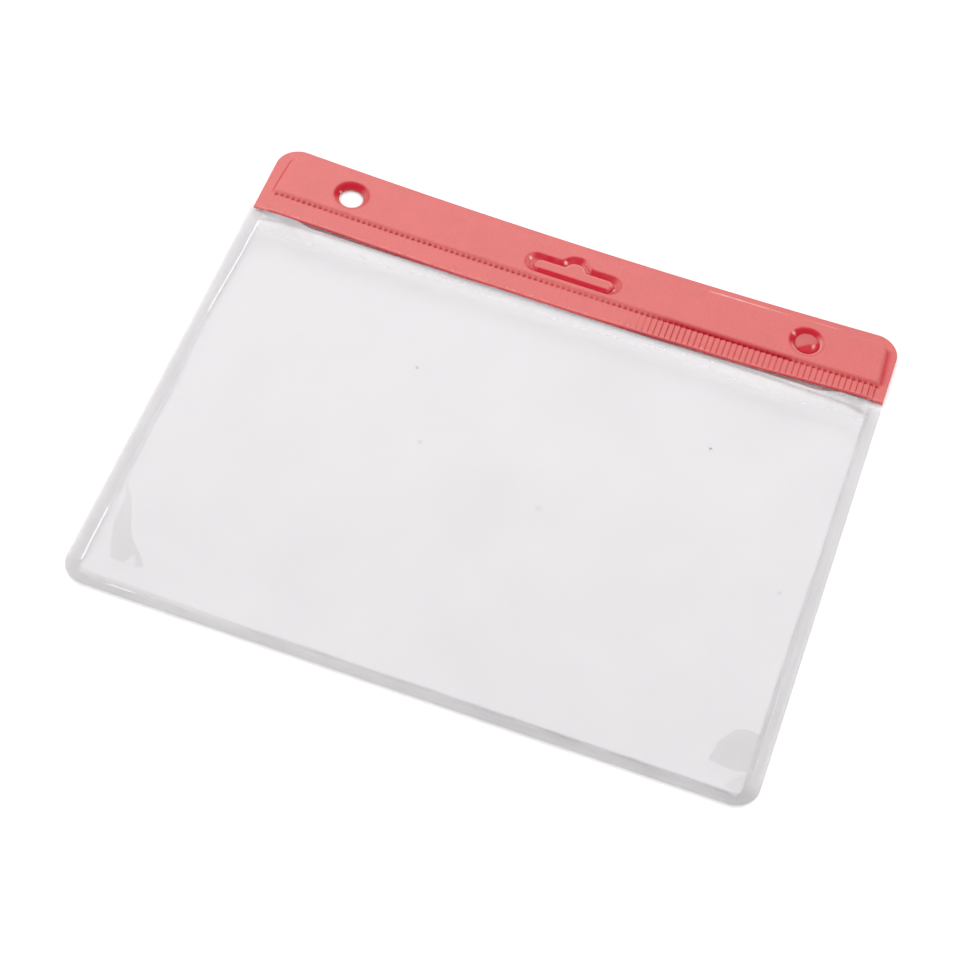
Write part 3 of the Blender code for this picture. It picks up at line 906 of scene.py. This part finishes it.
def wet_marks(x, y):
    """Where the front film clings to the back one: a blade, a blot and a small wedge."""
    x = x + 0.10 * wave(x, y, 2.3, 71)
    y = y + 0.10 * wave(x, y, 2.1, 72)
    blade = patch(
        x,
        y,
        (
            (-53.5, 20.4),
            (-52.7, 17.0),
            (-52.4, 12.5),
            (-51.6, 9.0),
            (-50.4, 6.0),
            (-49.6, 5.5),
            (-48.0, 5.8),
            (-47.0, 7.7),
            (-46.0, 5.5),
            (-44.8, 6.1),
            (-46.3, 8.3),
            (-48.0, 9.8),
            (-49.3, 12.0),
            (-50.4, 14.6),
            (-51.7, 17.9),
            (-52.9, 19.0),
        ),
        0.10,
    )
    blot = patch(
        x,
        y,
        (
            (52.2, 13.3),
            (55.2, 13.0),
            (55.2, 6.4),
            (53.4, 5.8),
            (52.0, 5.5),
            (49.8, 5.7),
            (47.8, 6.1),
            (48.3, 8.0),
            (48.4, 9.6),
            (49.4, 11.0),
            (50.3, 12.4),
            (51.3, 13.1),
        ),
        0.10,
    )
    wedge = patch(x, y, ((53.6, 5.4), (55.5, 5.2), (55.5, 2.4), (51.3, 2.3), (52.3, 3.9)))
    return 0.78 * blade, np.maximum(0.88 * blot, 0.62 * wedge)


def front_masks(x, y, z):
    edge, below = window_distance(x, y)
    rim = -sd_rect(x, y, -CLEAR_HALF, 0.0, CLEAR_HALF, HEIGHT, CORNER)
    outside = step(0.10, -0.10, edge)
    lower = step(6.0, 2.0, y)
    right = step(-57, 57, x)
    # Welded film is drawn denser, as painted shade, most of all along the bottom and at the right.
    weld = 0.150 + 0.02 * wave(x, y, 9, 81) + 0.055 * lower + 0.010 * lower * right
    weld = weld - 0.012 * right * (1 - lower) + 0.030 * step(45, 10, y)
    weld = weld - 0.038 * step(40, 66, y)
    weld = weld + lower * (0.06 * step(50, 55, x) - 0.05 * bell(x - 38, 12))
    # Painted shade: the window's film is drawn hazier towards the bottom and the right.
    body = 0.100 + 0.016 * right + 0.085 * step(65, 0, y)
    dens = body + (weld - body) * outside
    # A dark line on the window's slope, wavering in strength: painted shade
    foot = bell(edge - 0.20, 0.20) * step(-1.2, -0.2, below)
    waver = 0.75 + 0.35 * wave(x, y, 8, 84)
    foot = foot * waver * (
        0.27 * lower * (0.25 + 0.75 * step(-35, -20, x)) + 0.18 * (x > 0) * (1 - lower)
    )
    foot = clamp01(foot)
    # Painted shade along the outer cut edge
    outer = bell(rim, 0.14)
    # Painted highlight: the bead is drawn clear and bright on the left, and beside the right weld.
    lit_left = (x < 0) * (
        step(81.0, 79.5, y) * step(57, 59.5, y)
        + step(15.5, 14.0, y) * step(3.6, 4.4, y)
        + 0.22
    )
    bright = bell(edge + 0.16, 0.13) * clamp01(lit_left) * step(3.2, 4.4, y)
    lit_right = (x > 0) * step(62, 22, y) * step(3.4, 4.6, y)
    lit_right = lit_right * (0.26 + 0.20 * wave(y, y * 0, 6, 86)) * step(40, 22, y)
    bright = np.maximum(bright, bell(edge + 0.45, 0.12) * clamp01(lit_right))
    # Painted highlights: an outer rim line on the right, and broken lights along the bottom
    bright = np.maximum(
        bright, (x > 0) * bell(rim - 0.22, 0.10) * step(66, 40, y) * step(3, 7, y) * 0.4
    )
    dashes = step(0.15, 0.6, wave(x, x * 0, 8, 83)) * step(-20, -30, x)
    bright = np.maximum(bright, bell(rim - 1.35, 0.12) * lower * dashes * 0.7)
    # No shadow beside the bright lines: this term is zero
    shade = 0.0 * edge
    blade, blot = wet_marks(x, y)
    wet = np.maximum(blade, blot) * step(0.30, 0.50, edge)
    dens = dens + 0.085 * wet + foot + shade + 0.02 * outer
    # Wrinkled film below the strip's lip, drawn with white haze as painted light that lifts the strip's shadow, darker
    # right at the lip as painted shade, with the wrinkles' light and dark painted towards the ends
    near_lip = step(6.5, 1.5, below) * step(-0.3, 0.2, edge)
    at_lip = step(0.9, -0.5, below)
    wrinkle = step(34, 48, np.abs(x)) * (0.5 + 0.5 * wave(x * 0.45, y * 1.6, 2.4, 85))
    painted_light_haze = near_lip * (0.28 + 0.12 * step(36, 50, np.abs(x)) * step(2.0, 0.5, below))
    # Clear where the strip's back film shows through it
    painted_light_haze = painted_light_haze * step(back_lip(x) - 0.62, back_lip(x) - 0.85, y)
    dens = dens * (1 - near_lip) + painted_light_haze
    # Painted shade: welded film is drawn greyer, most of all along the bottom at the right; the wet marks are greyer
    # too.
    tone = 0.76 - 0.42 * outside - (0.07 + 0.04 * right) * outside * lower - 0.33 * wet
    haze = 0.98 - 0.22 * at_lip - (0.24 * wrinkle + 0.06 * step(42, 52, x)) * step(2.0, 0.5, below)
    tone = tone * (1 - near_lip) + near_lip * haze
    # Painted shade: the dark line and the outer edge are drawn greyer.
    dark = clamp01((foot + shade) * 4 + 0.3 * outer)
    tone = tone * (1 - 0.62 * dark)
    # Painted highlights: white haze on the bright lines
    dens = dens * (1 - bright) + 0.72 * bright
    tone = tone * (1 - bright) + 1.0 * bright
    slope = step(-0.1, 0.1, edge) * step(0.62, 0.42, edge) * step(-30, 10, x)
    shine = 1.0 - 0.88 * slope + 1.2 * bright - 0.6 * outside * lower * right
    return {
        "dens": (clamp01(dens), 0.0),
        "tone": (clamp01(tone), 0.8),
        "gloss": (np.maximum(shine, 0), 0.15),
    }


def pocket_outline(spacing, top_line):
    full = rounded(-CLEAR_HALF, 0.0, CLEAR_HALF, 120.0, CORNER, spacing)
    full = full[full[:, 1] < 79.5]
    last = max(i for i, p in enumerate(full) if p[0] > 0)
    tx = np.linspace(CLEAR_HALF, -CLEAR_HALF, 300)
    return np.concatenate([full[: last + 1], np.stack([tx, top_line(tx)], 1), full[last + 1 :]])


def make_front_panel():
    def edge_line(x):
        # Under the lip in the middle, up to the strip's rim at its ends
        under = step(CLEAR_HALF - 1.0, CLEAR_HALF - 3.2, np.abs(x))
        return lip(x) - 0.12 + 0.45 * under

    outline = pocket_outline(0.3, edge_line)
    points = np.concatenate(
        [
            grid(-CLEAR_HALF + 4.5, CLEAR_HALF - 4.5, 6.5, 78.5, 0.9, 0.9),
            grid(-CLEAR_HALF + 0.1, -CLEAR_HALF + 4.3, 0.1, 82.6, 0.14, 0.35),
            grid(CLEAR_HALF - 4.3, CLEAR_HALF - 0.1, 0.1, 82.8, 0.14, 0.35),
            grid(-CLEAR_HALF + 4.5, CLEAR_HALF - 4.5, 0.1, 6.2, 0.35, 0.14),
            grid(-CLEAR_HALF + 4.5, CLEAR_HALF - 4.5, 79.6, 84.0, 0.33, 0.16),
            grid(-54.4, -44.6, 4.6, 21.0, 0.2, 0.2),
            grid(46.5, 54.6, 2.0, 14.0, 0.2, 0.2),
        ]
    )
    cells = np.round(points / 0.115).astype(int)
    _, first = np.unique(cells, axis=0, return_index=True)
    points = points[np.sort(first)]
    x, y = points[:, 0], points[:, 1]
    keep = sd_rect(x, y, -CLEAR_HALF, 0, CLEAR_HALF, 120, CORNER) < -0.08
    keep &= y < edge_line(x) - 0.08
    return film(
        "clear_front_film",
        outline,
        [],
        [],
        points[keep],
        front_top,
        front_under,
        front_masks,
        clear_front,
    )


# ------------------------------------------------------------------ back_panel
def make_back_panel():
    def edge_line(x):
        return 86.0 - 3.3 * step(CLEAR_HALF - 3.6, CLEAR_HALF - 2.6, np.abs(x))

    def top(x, y):
        rim = -sd_rect(x, y, -CLEAR_HALF, 0.0, CLEAR_HALF, 120.0, CORNER)
        edge, _ = window_distance(x, y)
        welded = step(0.1, -0.6, edge)
        lift = step(back_lip(x) - 1.3, back_lip(x) - 0.25, y)
        return 0.30 + 0.26 * welded * (1 - lift) + 0.30 * lift

    def under(x, y):
        lift = step(back_lip(x) - 1.3, back_lip(x) - 0.25, y)
        return 0.004 * (1 + wave(x, y, 12, 5)) + 0.31 * lift

    def masks(x, y, z):
        edge, below = window_distance(x, y)
        outside = step(0.3, -0.3, edge)
        lift = step(back_lip(x) - 1.5, back_lip(x) - 0.2, y)
        # Painted shade: the film is drawn hazier and greyer at the weld, where it lifts below the strip, and along its
        # cut edge.
        dens = 0.060 + 0.05 * outside + 0.03 * wave(x, y, 40, 90) ** 2
        dens = dens + 0.04 * lift
        rim = -sd_rect(x, y, -CLEAR_HALF, 0.0, CLEAR_HALF, 120.0, CORNER)
        dens = dens + 0.04 * bell(rim, 0.2)
        specks = sum(
            np.exp(-(((x - px) ** 2 + (y - py) ** 2) / s**2)) * w
            for px, py, s, w in (
                (32.1, 63.9, 0.20, 0.9),
                (-18.6, 60.9, 0.25, 0.35),
                (-13.0, 46.5, 0.35, 0.15),
                (9.2, 41.4, 0.5, 0.12),
                (50.3, 40.5, 0.3, 0.2),
            )
        )
        dens = clamp01(dens + specks)
        return {
            "dens": (dens, clamp01(0.03 * outside)),
            "tone": (clamp01(0.76 - 0.12 * outside - 0.7 * clamp01(specks * 2)), 0.8),
            "gloss": (0.3, 1.0),
        }

    outline = pocket_outline(0.5, edge_line)
    points = np.concatenate(
        [
            grid(-CLEAR_HALF + 4.5, CLEAR_HALF - 4.5, 6.0, 78.5, 1.4, 1.4),
            grid(-CLEAR_HALF + 0.2, -CLEAR_HALF + 4.3, 0.2, 85.9, 0.3, 0.6),
            grid(CLEAR_HALF - 4.3, CLEAR_HALF - 0.2, 0.2, 85.9, 0.3, 0.6),
            grid(-CLEAR_HALF + 4.5, CLEAR_HALF - 4.5, 0.2, 5.8, 0.6, 0.3),
            grid(-CLEAR_HALF + 4.5, CLEAR_HALF - 4.5, 79.0, 85.8, 0.5, 0.25),
            grid(31.3, 32.9, 63.1, 64.7, 0.08, 0.08),
            grid(-19.4, -17.8, 60.1, 61.7, 0.12, 0.12),
            grid(8.0, 10.4, 40.2, 42.6, 0.2, 0.2),
            grid(49.5, 51.1, 39.7, 41.3, 0.15, 0.15),
            grid(-14.0, -12.0, 45.5, 47.5, 0.2, 0.2),
        ]
    )
    x, y = points[:, 0], points[:, 1]
    keep = sd_rect(x, y, -CLEAR_HALF, 0, CLEAR_HALF, 120, CORNER) < -0.12
    keep &= y < edge_line(x) - 0.15
    return film(
        "clear_back_film",
        outline,
        [],
        [],
        points[keep],
        top,
        under,
        masks,
        clear_back,
        edge=0.09,
    )


# ----------------------------------------------------------------------- slugs
def make_slot_slug():
    def top(x, y):
        d = -sd_slot(x, y)
        crown = 0.02 * wave(x, y, 9, 101)
        near = step(0.0, 1.05, y - (SLOT_Y - SLOT_HALF))
        high = 1.24 + crown
        z = 0.97 + (high - 0.97) * step(-0.04, 0.34, d) ** 0.75
        return np.minimum(z, 0.98 + (high - 0.98) * near)

    def under(x, y):
        return np.zeros_like(x) + 0.02

    def masks(x, y, z):
        d = -sd_slot(x, y)
        ends = step(6.9, 6.0, np.abs(x - SLOT_X))
        # Painted shade on the near wall, at the right tip and round the rim; a painted highlight in a band just inside
        # the far rim.
        near = step(1.10, 0.70, y - (SLOT_Y - SLOT_HALF)) * (0.55 + 0.45 * ends)
        tip = 0.8 * step(5.9, 6.7, x) * step(SLOT_Y + 0.5, SLOT_Y - 0.2, y)
        rim = step(0.22, 0.05, d) * (0.10 + 0.35 * step(0, 5, x))
        pale = 0.16 * step(0.62, 0.30, d) * step(0.16, 0.30, d) * step(
            SLOT_Y + 0.2, SLOT_Y + 0.7, y
        )
        return {
            "groove": (np.maximum.reduce([near, rim, tip]), 0.35),
            "glint": (pale, 0.0),
        }

    outline = slot_loop(-0.006)
    points = grid(SLOT_X - 7.6, SLOT_X + 7.6, 88.0, 93.0, 0.12, 0.12)
    points = points[sd_slot(points[:, 0], points[:, 1]) < -0.07]
    return film(
        "slot_knock_out", outline, [], [], points, top, under, masks, red_slot
    )


def make_round_slug():
    def top(x, y):
        r = np.hypot(x - ROUND_X, y - ROUND_Y) / ROUND_R
        tilt = 0.07 * (y - ROUND_Y) - 0.02 * (x - ROUND_X)
        dome = np.sqrt(np.maximum(0.0, 1 - (np.minimum(r, 1.0)) ** 3.2))
        return 0.90 + (0.36 + tilt) * dome + 0.015 * wave(x, y, 3.0, 111) * dome

    def under(x, y):
        return np.zeros_like(x) + 0.02

    def masks(x, y, z):
        r = np.hypot(x - ROUND_X, y - ROUND_Y) / ROUND_R
        # Painted shade on the lower right side and round the edge; a painted highlight on the right.
        low = step(-0.2, -0.9, (y - ROUND_Y) - 0.70 * (x - ROUND_X))
        glint = np.exp(-(((x - ROUND_X - 1.25) / 0.22) ** 2) - ((y - ROUND_Y + 0.35) / 0.5) ** 2)
        return {
            "groove": (np.maximum(step(0.84, 0.98, r) * 0.45, 0.95 * low), 0.35),
            "glint": (0.6 * glint, 0.0),
        }

    outline = ring(ROUND_X, ROUND_Y, ROUND_R - 0.006, 84)
    lines = [ring(ROUND_X, ROUND_Y, ROUND_R * k, max(12, int(84 * k))) for k in (0.95, 0.88, 0.8, 0.7, 0.58, 0.45, 0.3)]
    points = np.array([[ROUND_X, ROUND_Y], [ROUND_X + 0.3, ROUND_Y], [ROUND_X - 0.3, ROUND_Y], [ROUND_X, ROUND_Y + 0.3], [ROUND_X, ROUND_Y - 0.3]])
    return film(
        "round_knock_out", outline, [], lines, points, top, under, masks, red_round
    )


pieces = (
    (make_header_back, "header_back", "holder", "red_back_film"),
    (make_back_panel, "back_panel", "holder", "clear_back_film"),
    (make_front_panel, "front_panel", "holder", "clear_front_film"),
    (make_header_front, "header_front", "holder", "red_front_film"),
    (make_slot_slug, "slot_slug", "slot_knockout", "red_slug"),
    (make_round_slug, "hole_slug", "hole_knockout", "red_slug"),
)
for make, stands_for, body, finish in pieces:
    piece = make()
    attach(piece, body)
    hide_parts(stands_for)

# ----------------------------------------------------------------------- studio
scene = bpy.context.scene
scene.view_settings.view_transform = "Standard"
scene.view_settings.look = "None"

world = bpy.data.worlds.new("studio")
world.use_nodes = True
world.node_tree.nodes["Background"].inputs["Color"].default_value = (1, 1, 1, 1)
world.node_tree.nodes["Background"].inputs["Strength"].default_value = 1.12
scene.world = world

floor_mesh = bpy.data.meshes.new("floor")
bm = bmesh.new()
bmesh.ops.create_grid(bm, x_segments=2, y_segments=2, size=6.0)
bm.to_mesh(floor_mesh)
bm.free()
floor = bpy.data.objects.new("floor", floor_mesh)
floor.location.z = -0.00002
scene.collection.objects.link(floor)
floor_mat, tree = nodes_of("pale_floor")
paper = noise(tree, 40.0, 2.0)
shade = mix_colour(tree, paper, (0.955, 0.955, 0.955, 1), (0.975, 0.975, 0.975, 1))
floor_shader = node(tree, "ShaderNodeBsdfDiffuse", Color=shade)
node(tree, "ShaderNodeOutputMaterial", Surface=floor_shader.outputs[0])
floor_mesh.materials.append(floor_mat)


def softbox(name, azimuth, elevation, distance, size, radiance):
    """A lamp that shines on the origin; azimuth 0 is behind the header, positive to its left."""
    a, e = math.radians(azimuth), math.radians(elevation)
    way = Vector((-math.sin(a) * math.cos(e), math.cos(a) * math.cos(e), math.sin(e)))
    data = bpy.data.lights.new(name, "AREA")
    data.shape = "RECTANGLE"
    data.size, data.size_y = size
    data.energy = radiance * math.pi * size[0] * size[1]
    lamp = bpy.data.objects.new(name, data)
    lamp.location = way * distance
    lamp.rotation_mode = "QUATERNION"
    lamp.rotation_quaternion = way.to_track_quat("Z", "Y")
    scene.collection.objects.link(lamp)


softbox("key", 20, 60, 1.3, (0.95, 0.85), 1.35)
softbox("edge", 78, 42, 1.2, (0.25, 0.60), 3.0)

# ----------------------------------------------------------------------- camera
LENS_PX = 2740.0
right = Vector((0.943143, 0.318487, 0.095118))
down = Vector((0.312365, -0.751439, -0.581178))
ahead = Vector((-0.113622, 0.577845, -0.808199))
camera_data = bpy.data.cameras.new("camera")
camera_data.sensor_width = 36.0
camera_data.lens = LENS_PX / 962.0 * 36.0
camera_data.clip_start, camera_data.clip_end = 0.01, 50.0
camera = bpy.data.objects.new("camera", camera_data)
scene.collection.objects.link(camera)
turn = Matrix((right, -down, -ahead)).transposed().to_4x4()
camera.matrix_world = (
    Matrix.Translation((0.04947, -0.21465 + BOTTOM / 1000, 0.36055)) @ turn
)
scene.camera = camera
